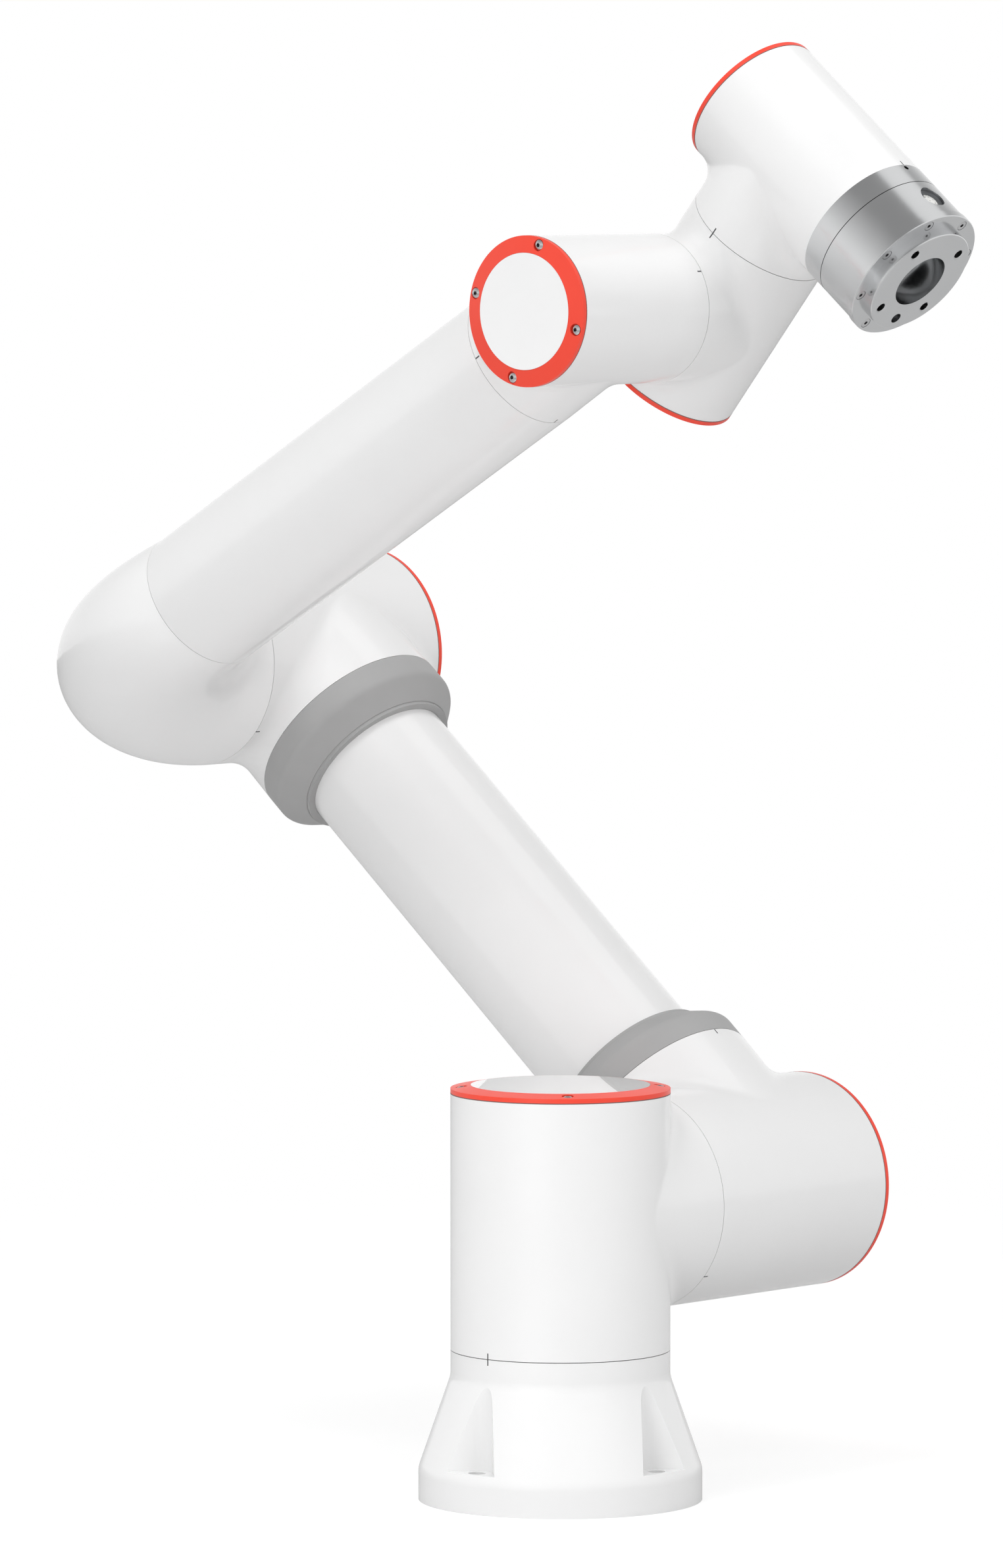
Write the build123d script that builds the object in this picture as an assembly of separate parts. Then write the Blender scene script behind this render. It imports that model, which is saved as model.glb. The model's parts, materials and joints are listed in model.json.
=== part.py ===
from build123d import *
import os
from math import cos, radians, sin

# Six-axis collaborative robot arm, upright on its base, in the pose of the photograph.
# Z is up, the origin is the centre of the base's underside, and X runs along the shoulder axis.
# Sizes are in millimetres and angles in degrees.

# Pose at rest: lean of each link from the vertical, positive towards +Y
UPPER_ARM_LEAN = 49.5
FOREARM_LEAN = -59.7
WRIST_LEAN = -39.65

# Link lengths between joint axes
UPPER_ARM_LENGTH = 420.0
FOREARM_LENGTH = 391.5

# Large joint drives: base, shoulder and elbow
LARGE_RADIUS = 57.5
LARGE_WALL = 4.5
LARGE_SEAM_TO_NECK = 72.7
LARGE_NECK_TO_CAP = 64.5
LARGE_NECK_LENGTH = 64.5
LARGE_BLEND = 16.0
LARGE_DISC_RADIUS = 47.0
LARGE_SCREW_RADIUS = 51.8
LARGE_GEAR_LENGTH = 30.0
LARGE_MOTOR_LENGTH = 56.0
LARGE_HUB_RADIUS = 34.0

# Small joint drives: the three wrist joints
SMALL_RADIUS = 39.0
SMALL_WALL = 4.0
SMALL_SEAM_TO_NECK = 51.0
SMALL_NECK_TO_CAP = 48.8
SMALL_NECK_LENGTH = 49.5
SMALL_BLEND = 12.0
SMALL_DISC_RADIUS = 30.2
SMALL_SCREW_RADIUS = 35.2
SMALL_GEAR_LENGTH = 22.0
SMALL_MOTOR_LENGTH = 36.0
SMALL_HUB_RADIUS = 22.0

# What every drive shares
NECK_RELIEF = 1.0
SEAM_GAP = 0.4
SEAL_INSET = 1.5
SEAT_DEPTH = 4.0
END_WALL = 6.0
RIB = 5.0
RUNNING_CLEARANCE = 0.06
FIT = 0.1
CABLE_BORE = 9.0
CAP_BAND = 2.6
CAP_RISE = 1.7
CAP_DISC_THICKNESS = 2.0
CAP_LEDGE = 4.0

# Inside every drive
GEAR_INSET = 0.8
HUB_SHORT_OF_GEAR = 8.0
NOSE_IN_GEAR = 7.0
NOSE_STEP = 4.0
STATOR_SHARE_OF_BORE = 0.82
ENCODER_SHARE_OF_BORE = 0.55
ENCODER_LENGTH = 14.0
BOARD_THICKNESS = 1.6
BOARD_DROP = 2.0
BOARD_EDGE_GAP = 0.8
BOARD_POST_RADIUS = 2.5
CHIP_HEIGHT = 3.0

# Cap screws, button heads with a hexagon socket
SCREW_HEAD_RADIUS = 2.7
SCREW_HEAD_HEIGHT = 1.7
SCREW_SHANK_RADIUS = 1.5
SCREW_LENGTH = 9.0
SCREW_SOCKET = 2.0
SCREW_SEAT_DEPTH = 0.6
LUG_RADIUS = 3.8
LUG_LENGTH = 9.0
CAP_SCREW_ANGLES = (45, 135, 225, 315)

# Alignment ticks, cut across the joint seams
TICK_WIDTH = 0.8
TICK_DEPTH = 0.5
TICK_LENGTH = 3.2

# Base
BASE_SEAM_HEIGHT = 78.8
BASE_RADIUS = 74.3
BASE_BAND_HEIGHT = 16.8
BASE_FLARE_TOP = 65.1
BASE_WALL = 6.0
BASE_FLARE_BLEND = 14.0
BASE_CAVITY_RADIUS = 44.0
POCKET_FLOOR = 20.4
POCKET_CORNER = 54.6
POCKET_ROUND = 8.0
BASE_BOLT_CIRCLE = 132.0
BASE_BOLT_HOLE = 9.0
INLET_HEIGHT = 42.0
INLET_RADIUS = 11.0

# Upper arm tube and the cuffs at its ends
UPPER_TUBE_RADIUS = 42.1
UPPER_TUBE_WALL = 4.0
CUFF_START = 62.7
CUFF_LENGTH = 27.0
CUFF_BAND = 14.0
CUFF_LIP_RADIUS = 46.0
CUFF_LIP = 2.0
CUFF_SPIGOT = 8.0

# Forearm tube and the rounded elbow at its root
FOREARM_TUBE_RADIUS = 39.0
FOREARM_TUBE_WALL = 4.0
FOREARM_ROOT = 75.5
FOREARM_NECK_LENGTH = 50.0
TUBE_SEAM = 0.3
SPIGOT = 10.0

# Tool end
COLLAR_LENGTH = 13.0
TOOL_BODY_LENGTH = 24.1
RIM_RADIUS = 39.6
RIM_THICKNESS = 4.2
BOSS_RADIUS = 31.5
BOSS_HEIGHT = 5.4
PILOT_DIAMETER = 31.5
PILOT_DEPTH = 18.0
TOOL_BOLT_CIRCLE = 50.0
TOOL_BOLT_HOLE = 5.0
TOOL_BOLT_DEPTH = 9.0
TOOL_BOLT_MOUTH = 0.7
TOOL_BOLT_MOUTH_DEPTH = 0.4
DOWEL_DIAMETER = 6.0
DOWEL_DEPTH = 7.0
RIM_SCREW_CIRCLE = 70.6
RIM_SCREWS = 8
SOCKET_RADIUS = 7.0
SOCKET_DEPTH = 3.0
SOCKET_INSERT = 3.0
SOCKET_SIDE = 180
LOCK_SCREW_OFFSET = 2.2
LOCK_SCREW_RADIUS = 1.4


class Drive:
    """Sizes of one joint drive. Local Z runs from its output seam to its cap, its neck along local X."""

    def __init__(self, radius, wall, seam_to_neck, neck_to_cap, blend, disc_radius, screw_radius,
                 gear_length, motor_length, hub_radius):
        self.radius = radius
        self.wall = wall
        self.seam_to_neck = seam_to_neck
        self.blend = blend
        self.disc_radius = disc_radius
        self.screw_radius = screw_radius
        self.hub_radius = hub_radius
        self.bore = radius - wall
        self.neck_radius = radius - NECK_RELIEF
        self.cap_seat = seam_to_neck + neck_to_cap - CAP_BAND
        self.gear_start = SEAM_GAP / 2 + GEAR_INSET
        self.gear_end = self.gear_start + gear_length
        self.motor_start = self.gear_end + RIB
        self.motor_end = self.motor_start + motor_length


LARGE = Drive(LARGE_RADIUS, LARGE_WALL, LARGE_SEAM_TO_NECK, LARGE_NECK_TO_CAP, LARGE_BLEND,
              LARGE_DISC_RADIUS, LARGE_SCREW_RADIUS, LARGE_GEAR_LENGTH, LARGE_MOTOR_LENGTH,
              LARGE_HUB_RADIUS)
SMALL = Drive(SMALL_RADIUS, SMALL_WALL, SMALL_SEAM_TO_NECK, SMALL_NECK_TO_CAP, SMALL_BLEND,
              SMALL_DISC_RADIUS, SMALL_SCREW_RADIUS, SMALL_GEAR_LENGTH, SMALL_MOTOR_LENGTH,
              SMALL_HUB_RADIUS)


def rod(radius, start, end):
    """Solid cylinder about Z from one height to another."""
    return Pos(0, 0, start) * Cylinder(radius, end - start, align=(Align.CENTER, Align.CENTER, Align.MIN))


def tube(outer, inner, start, end):
    """Hollow cylinder about Z from one height to another."""
    return rod(outer, start, end) - rod(inner, start - 1, end + 1)


def polar(radius, angle, height=0.0):
    """Place on a circle about Z, turned so that local X points outwards."""
    return Rot(0, 0, angle) * Pos(radius, 0, height)


def spun(points):
    """Solid of revolution about Z from an outline of (radius, height) points."""
    outline = Polyline([(r, 0, z) for r, z in points], close=True)
    return revolve(make_face(outline), Axis.Z, 360)


def tick_cutter(radius, angle, seam):
    """Short groove across a seam on a cylinder about Z."""
    return polar(radius, angle, seam) * Box(2 * TICK_DEPTH, TICK_WIDTH, 2 * TICK_LENGTH)


# Housings of the joint drives

def to_neck(drive):
    """Place on the drive's axis whose local Z runs along the neck."""
    return Pos(0, 0, drive.seam_to_neck) * Plane.YZ.location


def neck_of(drive, length):
    """Outer shape of a housing's neck, a hair slimmer at its root and flush with its neighbour at its end."""
    cone = Cone(drive.neck_radius, drive.radius, length, align=(Align.CENTER, Align.CENTER, Align.MIN))
    return to_neck(drive) * cone


def blended_tee(drive, length):
    """Barrel and neck joined by a rounded blend."""
    barrel = rod(drive.radius, SEAM_GAP / 2, drive.cap_seat)
    tee = barrel + neck_of(drive, length)
    blend_edges = [e for e in tee.edges() if e.geom_type not in (GeomType.CIRCLE, GeomType.LINE)]
    return fillet(blend_edges, drive.blend)


def with_cap_lugs(drive, shell):
    """The housing with its four tapped lugs for the cap screws."""
    start = drive.cap_seat - LUG_LENGTH
    for angle in CAP_SCREW_ANGLES:
        place = polar(drive.screw_radius, angle)
        shell += place * rod(LUG_RADIUS, start, drive.cap_seat)
        shell -= place * rod(SCREW_SHANK_RADIUS + FIT / 2, start - 1, drive.cap_seat + 1)
    return shell


def neck_bore(drive, length):
    """Space inside the neck, a plain bore as far as the barrel's own."""
    bore = Cylinder(drive.neck_radius - drive.wall, length, align=(Align.CENTER, Align.CENTER, Align.MIN))
    return to_neck(drive) * bore


def neck_wall(drive, length):
    """Wall across the neck that carries the next joint's output flange."""
    start = length - SEAT_DEPTH - END_WALL
    wall = tube(drive.neck_radius - drive.wall + 0.5, CABLE_BORE, start, length - SEAT_DEPTH)
    return to_neck(drive) * wall


def flange_seat(drive, length):
    """Room for the next joint's output flange in the end of the neck."""
    seat = rod(drive.bore, length - SEAT_DEPTH, length + 1)
    return to_neck(drive) * seat


def housing(drive, neck_length, carries_joint, tick_angle):
    """Hollow housing round one drive, with a rib that carries its gear on one side and its motor on the other."""
    shell = blended_tee(drive, neck_length)
    shell -= rod(drive.bore, 0, drive.cap_seat + 1)
    shell -= neck_bore(drive, neck_length + 1)
    shell += tube(drive.bore + 0.5, drive.hub_radius, drive.gear_end, drive.motor_start)
    shell = with_cap_lugs(drive, shell)
    if carries_joint:
        shell += neck_wall(drive, neck_length)
        shell -= flange_seat(drive, neck_length)
    shell -= to_neck(drive) * tick_cutter(drive.radius, 0, neck_length)
    return shell - tick_cutter(drive.radius, tick_angle, 0)


# Pieces inside and behind each drive

def output_flange(drive, seam=0.0):
    """Flange that joins the driven link to the gear: a seated disc, a thin seal lip and the bearing hub."""
    seated = rod(drive.bore - FIT, -SEAT_DEPTH, -SEAM_GAP / 2)
    lip = rod(drive.radius - SEAL_INSET, -SEAM_GAP / 2, SEAM_GAP / 4)
    hub = rod(drive.hub_radius, 0, drive.gear_end - HUB_SHORT_OF_GEAR)
    return Pos(0, 0, seam) * (seated + lip + hub - rod(CABLE_BORE, -SEAT_DEPTH - 1, drive.gear_end))


def gear_ring(drive, seam=0.0):
    """Fixed ring of the gear with the outer ring of the output bearing."""
    hub = drive.hub_radius + RUNNING_CLEARANCE
    return tube(drive.bore - FIT, hub, drive.gear_start + seam, drive.gear_end)


def motor(drive):
    """Closed motor unit: wave generator nose, mounting flange, stator, brake and encoder on a hollow shaft."""
    flange_end = drive.motor_start + RIB
    stator_end = drive.motor_end - ENCODER_LENGTH
    unit = rod(drive.hub_radius - NOSE_STEP, drive.gear_end - NOSE_IN_GEAR, drive.motor_start)
    unit += rod(drive.bore - FIT, drive.motor_start, flange_end)
    unit += rod(drive.bore * STATOR_SHARE_OF_BORE, flange_end, stator_end)
    unit += rod(drive.bore * ENCODER_SHARE_OF_BORE, stator_end, drive.motor_end)
    return unit - rod(CABLE_BORE - 1, 0, drive.motor_end + 1)


def driver_board(drive):
    """Round circuit board on three posts behind the motor, with its power stage and connectors."""
    radius = drive.screw_radius - LUG_RADIUS - BOARD_EDGE_GAP
    start = drive.cap_seat - LUG_LENGTH - BOARD_DROP
    top = start + BOARD_THICKNESS
    posts = (CABLE_BORE + drive.bore * ENCODER_SHARE_OF_BORE) / 2
    board = tube(radius, CABLE_BORE, start, top)
    for angle in (30, 150, 270):
        board += polar(posts, angle) * rod(BOARD_POST_RADIUS, drive.motor_end, start)
    middle = (radius + CABLE_BORE) / 2
    chip = (radius - CABLE_BORE) / 2
    for angle in (0, 90, 180, 270):
        board += polar(middle, angle, top + CHIP_HEIGHT / 2) * Box(chip, chip, CHIP_HEIGHT)
    return board


def cap_ring(drive):
    """Red ring: a low band flush with the housing and a shallow cone up to the disc."""
    seat = drive.cap_seat
    shoulder = seat + CAP_BAND
    top = shoulder + CAP_RISE
    ledge = top - CAP_DISC_THICKNESS
    inner = drive.disc_radius - CAP_LEDGE
    ring = spun([(inner, seat), (drive.radius, seat), (drive.radius, shoulder), (drive.disc_radius, top),
                 (drive.disc_radius, ledge), (inner, ledge)])
    for angle in CAP_SCREW_ANGLES:
        place = polar(drive.screw_radius, angle)
        ring -= place * rod(SCREW_HEAD_RADIUS + 0.4, shoulder - SCREW_SEAT_DEPTH, top + 1)
        ring -= place * rod(SCREW_SHANK_RADIUS + FIT, seat - 1, shoulder)
    return ring


def cap_disc(drive):
    """Plain disc that closes the cap, flush with the top of the ring."""
    top = drive.cap_seat + CAP_BAND + CAP_RISE
    return rod(drive.disc_radius - FIT, top - CAP_DISC_THICKNESS, top)


def button_screw():
    """Button-head screw with its head seated at height zero."""
    crown = Pos(0, 0, SCREW_HEAD_HEIGHT - 4.6) * Sphere(4.6)
    head = rod(SCREW_HEAD_RADIUS, 0, SCREW_HEAD_HEIGHT) & crown
    socket = extrude(RegularPolygon(SCREW_SOCKET / 2, 6, major_radius=False), 3)
    return head + rod(SCREW_SHANK_RADIUS, -SCREW_LENGTH, 0.2) - Pos(0, 0, 0.6) * socket


def cap_screws(drive):
    """The four screws of one cap."""
    height = drive.cap_seat + CAP_BAND - SCREW_SEAT_DEPTH
    return Compound([polar(drive.screw_radius, angle, height) * button_screw() for angle in CAP_SCREW_ANGLES])


def drive_parts(name, drive, place, driven_seam=0.0):
    """Everything of one drive but its housing, placed on the arm."""
    local = {"output_flange": output_flange(drive, driven_seam), "gear_ring": gear_ring(drive, driven_seam),
             "motor": motor(drive), "driver_board": driver_board(drive), "cap_ring": cap_ring(drive),
             "cap_disc": cap_disc(drive), "cap_screws": cap_screws(drive)}
    return {name + "_" + key: place * shape for key, shape in local.items()}


# Base

def base_pocket(angle):
    """Upright square pocket over a bolt hole, with its rounded corner towards the axis."""
    side = 2 * (BASE_RADIUS - POCKET_CORNER)
    height = BASE_SEAM_HEIGHT
    block = Box(side, side, height, align=(Align.MIN, Align.MIN, Align.MIN))
    corner = block.edges().filter_by(Axis.Z).sort_by_distance((0, 0, height / 2))[0]
    block = fillet(corner, POCKET_ROUND)
    return Rot(0, 0, angle) * Pos(POCKET_CORNER, 0, POCKET_FLOOR) * Rot(0, 0, -45) * block


def base_housing():
    """Flared foot with four bolt pockets, hollow inside, with the wall that carries the first joint's flange."""
    top = BASE_SEAM_HEIGHT - SEAM_GAP / 2
    outer = spun([(0, 0), (BASE_RADIUS, 0), (BASE_RADIUS, BASE_BAND_HEIGHT), (LARGE_RADIUS, BASE_FLARE_TOP),
                  (LARGE_RADIUS, top), (0, top)])
    bends = [e for e in outer.edges().filter_by(GeomType.CIRCLE)
             if abs(e.center().Z - BASE_BAND_HEIGHT) < 0.1 or abs(e.center().Z - BASE_FLARE_TOP) < 0.1]
    base = fillet(bends, BASE_FLARE_BLEND)
    base -= rod(BASE_CAVITY_RADIUS, -1, BASE_SEAM_HEIGHT - SEAT_DEPTH - END_WALL)
    base -= rod(CABLE_BORE, 0, BASE_SEAM_HEIGHT)
    base -= rod(LARGE.bore, BASE_SEAM_HEIGHT - SEAT_DEPTH, BASE_SEAM_HEIGHT)
    for angle in (0, 90, 180, 270):
        base -= base_pocket(angle)
        base -= polar(BASE_BOLT_CIRCLE / 2, angle) * rod(BASE_BOLT_HOLE / 2, -1, POCKET_FLOOR + 1)
    base += inlet_boss()
    base -= inlet_place() * rod(INLET_RADIUS, -40, 1)
    return base - tick_cutter(LARGE_RADIUS, 180, BASE_SEAM_HEIGHT)


def inlet_place():
    """Face of the cable inlet, at the back between two pockets."""
    return Rot(0, 0, 45) * Pos(BASE_RADIUS - 4, 0, INLET_HEIGHT) * Rot(0, 90, 0)


def inlet_boss():
    """Round boss on the flare that the cable inlet sits in."""
    return inlet_place() * rod(INLET_RADIUS + 4, -BASE_WALL - 8, 0)


def base_inlet():
    """Round bulkhead socket for the power and signal cable, with its contacts in the recess."""
    shell = tube(INLET_RADIUS - FIT, INLET_RADIUS - 2.5, -12, 1.5)
    insert = rod(INLET_RADIUS - 2.5, -12, -6)
    for angle in range(0, 360, 60):
        insert += polar(5.0, angle) * rod(0.8, -6, -1.5)
    return inlet_place() * (shell + insert + rod(0.8, -6, -1.5))


# Upper arm

def cuff():
    """Cuff between a housing's neck and the tube. Local Z points along the tube and starts at the neck's end."""
    slope_end = CUFF_LENGTH - CUFF_LIP
    band = CUFF_BAND
    outline = [(UPPER_TUBE_RADIUS + FIT, -CUFF_SPIGOT), (LARGE.neck_radius - LARGE_WALL - FIT, -CUFF_SPIGOT),
               (LARGE.neck_radius - LARGE_WALL - FIT, TUBE_SEAM), (LARGE_RADIUS, TUBE_SEAM), (LARGE_RADIUS, band),
               (CUFF_LIP_RADIUS + 0.6, slope_end), (CUFF_LIP_RADIUS, slope_end), (CUFF_LIP_RADIUS, CUFF_LENGTH),
               (UPPER_TUBE_RADIUS + FIT, CUFF_LENGTH)]
    body = spun(outline)
    edge = [e for e in body.edges().filter_by(GeomType.CIRCLE)
            if abs(e.center().Z - band) < 0.01 and abs(e.radius - LARGE_RADIUS) < 0.01]
    return fillet(edge, 5)


def upper_arm_tube():
    """Plain tube, from inside one cuff to inside the other."""
    end = CUFF_START - CUFF_SPIGOT
    return tube(UPPER_TUBE_RADIUS, UPPER_TUBE_RADIUS - UPPER_TUBE_WALL, end, UPPER_ARM_LENGTH - end)


# Forearm

# Sections of the rounded elbow, turned about the line where the planes of its two ends meet:
# angle from the drive's end, distance from that line to the far side, and half the width.
ELBOW_SECTIONS = ((22.5, 135.9, 51.1), (45.0, 129.5, 44.7), (67.5, 120.3, 40.4))


def elbow_section(angle, near, far, half_width):
    """Upright ellipse in a plane through the elbow's pivot line."""
    middle = (near + far) / 2
    toward_end = Vector(0, -sin(radians(angle)), -cos(radians(angle)))
    pivot = Vector(0, LARGE_NECK_LENGTH, FOREARM_ROOT)
    plane = Plane(origin=pivot + toward_end * middle, x_dir=toward_end,
                  z_dir=toward_end.cross(Vector(1, 0, 0)))
    return plane.location * Ellipse((far - near) / 2, half_width)


def elbow_solid(wall):
    """Solid elbow, smaller by a wall. Local Z runs along the forearm, and the drive's end faces local +Y."""
    near = (FOREARM_ROOT - LARGE_RADIUS + wall, LARGE_NECK_LENGTH - FOREARM_TUBE_RADIUS + wall)
    sections = [elbow_section(0, near[0], FOREARM_ROOT + LARGE_RADIUS - wall, LARGE_RADIUS - wall)]
    for angle, far, half_width in ELBOW_SECTIONS:
        inner = near[0] + (near[1] - near[0]) * angle / 90
        sections.append(elbow_section(angle, inner, far - wall, half_width - wall))
    sections.append(elbow_section(90, near[1], LARGE_NECK_LENGTH + FOREARM_TUBE_RADIUS - wall,
                                  FOREARM_TUBE_RADIUS - wall))
    return loft(sections)


def forearm_elbow():
    """Rounded hollow elbow from the third joint's output flange to the forearm tube."""
    wall = LARGE_WALL
    shell = elbow_solid(0) - elbow_solid(wall)
    to_flange = Pos(0, LARGE_NECK_LENGTH, 0) * Rot(-90, 0, 0)
    shell += to_flange * tube(LARGE.bore + 0.4, CABLE_BORE, -SEAT_DEPTH - END_WALL, -SEAT_DEPTH)
    shell -= to_flange * rod(LARGE.bore, -SEAT_DEPTH, 1)
    shell -= to_flange * rod(2 * LARGE_RADIUS, -SEAM_GAP / 2, 1)
    shell -= to_flange * tick_cutter(LARGE_RADIUS, 90, 0)
    spigot = FOREARM_TUBE_RADIUS - FOREARM_TUBE_WALL - FIT
    shell += tube(FOREARM_TUBE_RADIUS - 1, spigot - 4, FOREARM_ROOT - SPIGOT, FOREARM_ROOT)
    return shell + tube(spigot, spigot - 4, FOREARM_ROOT - 1, FOREARM_ROOT + SPIGOT)


def forearm_tube():
    """Plain tube of the forearm, with a hairline seam at each end."""
    start = FOREARM_ROOT + TUBE_SEAM
    end = FOREARM_LENGTH - FOREARM_NECK_LENGTH - TUBE_SEAM
    return tube(FOREARM_TUBE_RADIUS, FOREARM_TUBE_RADIUS - FOREARM_TUBE_WALL, start, end)


def forearm_end_housing():
    """Housing of the first wrist drive, with a spigot on its neck for the forearm tube."""
    shell = housing(SMALL, FOREARM_NECK_LENGTH, False, 180)
    spigot = FOREARM_TUBE_RADIUS - FOREARM_TUBE_WALL - FIT
    ring = tube(SMALL.neck_radius - SMALL_WALL + 0.5, spigot - 4, FOREARM_NECK_LENGTH - SPIGOT,
                FOREARM_NECK_LENGTH)
    ring += tube(spigot, spigot - 4, FOREARM_NECK_LENGTH - 1, FOREARM_NECK_LENGTH + SPIGOT)
    shell += to_neck(SMALL) * ring
    return shell - to_neck(SMALL) * tick_cutter(SMALL_RADIUS, 90, FOREARM_NECK_LENGTH)


# Tool end. Local Z still runs from the tool towards the cap, so the tool lies at negative heights.

def tool_collar():
    """Fixed bright collar round the last joint's gear, with one lock screw hole."""
    collar = tube(SMALL_RADIUS, SMALL.bore, -COLLAR_LENGTH + SEAM_GAP / 2, SEAM_GAP / 2)
    hole = Rot(0, 90, 0) * Cylinder(LOCK_SCREW_RADIUS, 3 * SMALL_WALL)
    return collar - polar(SMALL_RADIUS, SOCKET_SIDE, -LOCK_SCREW_OFFSET) * hole


def tool_body():
    """Turning drum behind the tool flange, with a recess for the signal socket."""
    start = -COLLAR_LENGTH - SEAM_GAP / 2
    end = -COLLAR_LENGTH - TOOL_BODY_LENGTH
    body = rod(SMALL_RADIUS, end, start)
    body -= rod(SMALL.bore, start - SEAT_DEPTH + SEAM_GAP / 2, start + 1)
    body -= rod(PILOT_DIAMETER / 2 + 4 + FIT, end - 1, end + PILOT_DEPTH - BOSS_HEIGHT - RIM_THICKNESS + 1)
    body -= rod(CABLE_BORE, end - 1, start)
    body -= socket_place() * rod(SOCKET_RADIUS, -SOCKET_DEPTH - SOCKET_INSERT, SMALL_WALL)
    return body


def socket_place():
    """Seat of the signal socket on the side of the drum."""
    height = -COLLAR_LENGTH - TOOL_BODY_LENGTH / 2
    return polar(SMALL_RADIUS, SOCKET_SIDE, height) * Rot(0, 90, 0)


def tool_socket():
    """Eight-contact signal socket, sunk in its recess."""
    radius = SOCKET_RADIUS - FIT
    insert = rod(radius, -SOCKET_DEPTH - SOCKET_INSERT, -SOCKET_DEPTH)
    for angle in range(0, 360, 51):
        insert -= polar(3.2, angle) * rod(0.45, -SOCKET_DEPTH - 1, 0)
    return socket_place() * (insert - rod(0.45, -SOCKET_DEPTH - 1, 0))


def tool_flange():
    """Tool flange: rim, raised boss, pilot bore, four tapped holes and a dowel hole."""
    seat = -COLLAR_LENGTH - TOOL_BODY_LENGTH
    rim = seat - RIM_THICKNESS
    face = rim - BOSS_HEIGHT
    flange = rod(RIM_RADIUS, rim, seat)
    flange += rod(BOSS_RADIUS, face, rim + 1)
    flange += rod(PILOT_DIAMETER / 2 + 4, seat - 1, face + PILOT_DEPTH)
    edges = [e for e in flange.edges().filter_by(GeomType.CIRCLE)
             if abs(e.center().Z - face) < 0.01 or abs(e.center().Z - rim) < 0.01 and e.radius > BOSS_RADIUS + 1]
    flange = chamfer(edges, 0.4)
    flange -= rod(PILOT_DIAMETER / 2, face - 1, face + PILOT_DEPTH + 1)
    for angle in (45, 135, 225, 315):
        place = polar(TOOL_BOLT_CIRCLE / 2, angle)
        flange -= place * rod(TOOL_BOLT_HOLE / 2, face - 1, face + TOOL_BOLT_DEPTH)
        mouth = Cone(TOOL_BOLT_HOLE / 2 + TOOL_BOLT_MOUTH, TOOL_BOLT_HOLE / 2, TOOL_BOLT_MOUTH_DEPTH,
                     align=(Align.CENTER, Align.CENTER, Align.MIN))
        flange -= place * Pos(0, 0, face) * mouth
    flange -= polar(TOOL_BOLT_CIRCLE / 2, 0) * rod(DOWEL_DIAMETER / 2, face - 1, face + DOWEL_DEPTH)
    for place in rim_screw_places(rim):
        flange -= place * rod(1.6, -1, RIM_THICKNESS + 1)
        flange -= place * rod(2.9, -1, 1.6)
    return flange


def rim_screw_places(rim):
    """Seats of the screws round the rim."""
    step = 360 / RIM_SCREWS
    return [polar(RIM_SCREW_CIRCLE / 2, step * (i + 0.5), rim) for i in range(RIM_SCREWS)]


def tool_flange_screws():
    """Low socket screws that hold the flange to the drum."""
    rim = -COLLAR_LENGTH - TOOL_BODY_LENGTH - RIM_THICKNESS
    socket = extrude(RegularPolygon(SCREW_SOCKET / 2, 6, major_radius=False), 1)
    screw = rod(2.7, 0.1, 1.6) + rod(1.5, 1.6, RIM_THICKNESS) - Pos(0, 0, 0.1) * socket
    return Compound([place * screw for place in rim_screw_places(rim)])


# Places of the joints on the arm

def lean(angle):
    """Direction in the plane across the shoulder axis, leaning from the vertical."""
    return Vector(0, sin(radians(angle)), cos(radians(angle)))


X_AXIS = Vector(1, 0, 0)
UPPER = lean(UPPER_ARM_LEAN)
FORE = lean(FOREARM_LEAN)
WRIST = lean(WRIST_LEAN)
TOOL = -WRIST.cross(X_AXIS)

SHOULDER_HEIGHT = BASE_SEAM_HEIGHT + LARGE_SEAM_TO_NECK
UPPER_PLANE = LARGE_NECK_LENGTH + LARGE_SEAM_TO_NECK
SHOULDER_POINT = Vector(0, 0, SHOULDER_HEIGHT)
ELBOW_POINT = SHOULDER_POINT + UPPER * UPPER_ARM_LENGTH
WRIST_1_POINT = ELBOW_POINT + FORE * FOREARM_LENGTH
WRIST_2_POINT = WRIST_1_POINT + X_AXIS * (SMALL_SEAM_TO_NECK + SMALL_NECK_LENGTH)
WRIST_3_POINT = WRIST_2_POINT + WRIST * (SMALL_SEAM_TO_NECK + SMALL_NECK_LENGTH)

PLACE_1 = Plane(origin=(0, 0, BASE_SEAM_HEIGHT), x_dir=(1, 0, 0), z_dir=(0, 0, 1)).location
PLACE_2 = Plane(origin=SHOULDER_POINT + X_AXIS * LARGE_NECK_LENGTH, x_dir=UPPER, z_dir=X_AXIS).location
PLACE_3 = Plane(origin=ELBOW_POINT + X_AXIS * LARGE_NECK_LENGTH, x_dir=-UPPER, z_dir=X_AXIS).location
PLACE_4 = Plane(origin=WRIST_1_POINT + X_AXIS * SMALL_SEAM_TO_NECK, x_dir=-FORE, z_dir=-X_AXIS).location
PLACE_5 = Plane(origin=WRIST_2_POINT + WRIST * SMALL_SEAM_TO_NECK, x_dir=-X_AXIS, z_dir=-WRIST).location
PLACE_6 = Plane(origin=WRIST_3_POINT + TOOL * SMALL_SEAM_TO_NECK, x_dir=-WRIST, z_dir=-TOOL).location
UPPER_LINE = Plane(origin=SHOULDER_POINT + X_AXIS * UPPER_PLANE, x_dir=X_AXIS, z_dir=UPPER).location
FORE_LINE = Plane(origin=ELBOW_POINT, x_dir=X_AXIS.cross(FORE), z_dir=FORE).location


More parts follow.
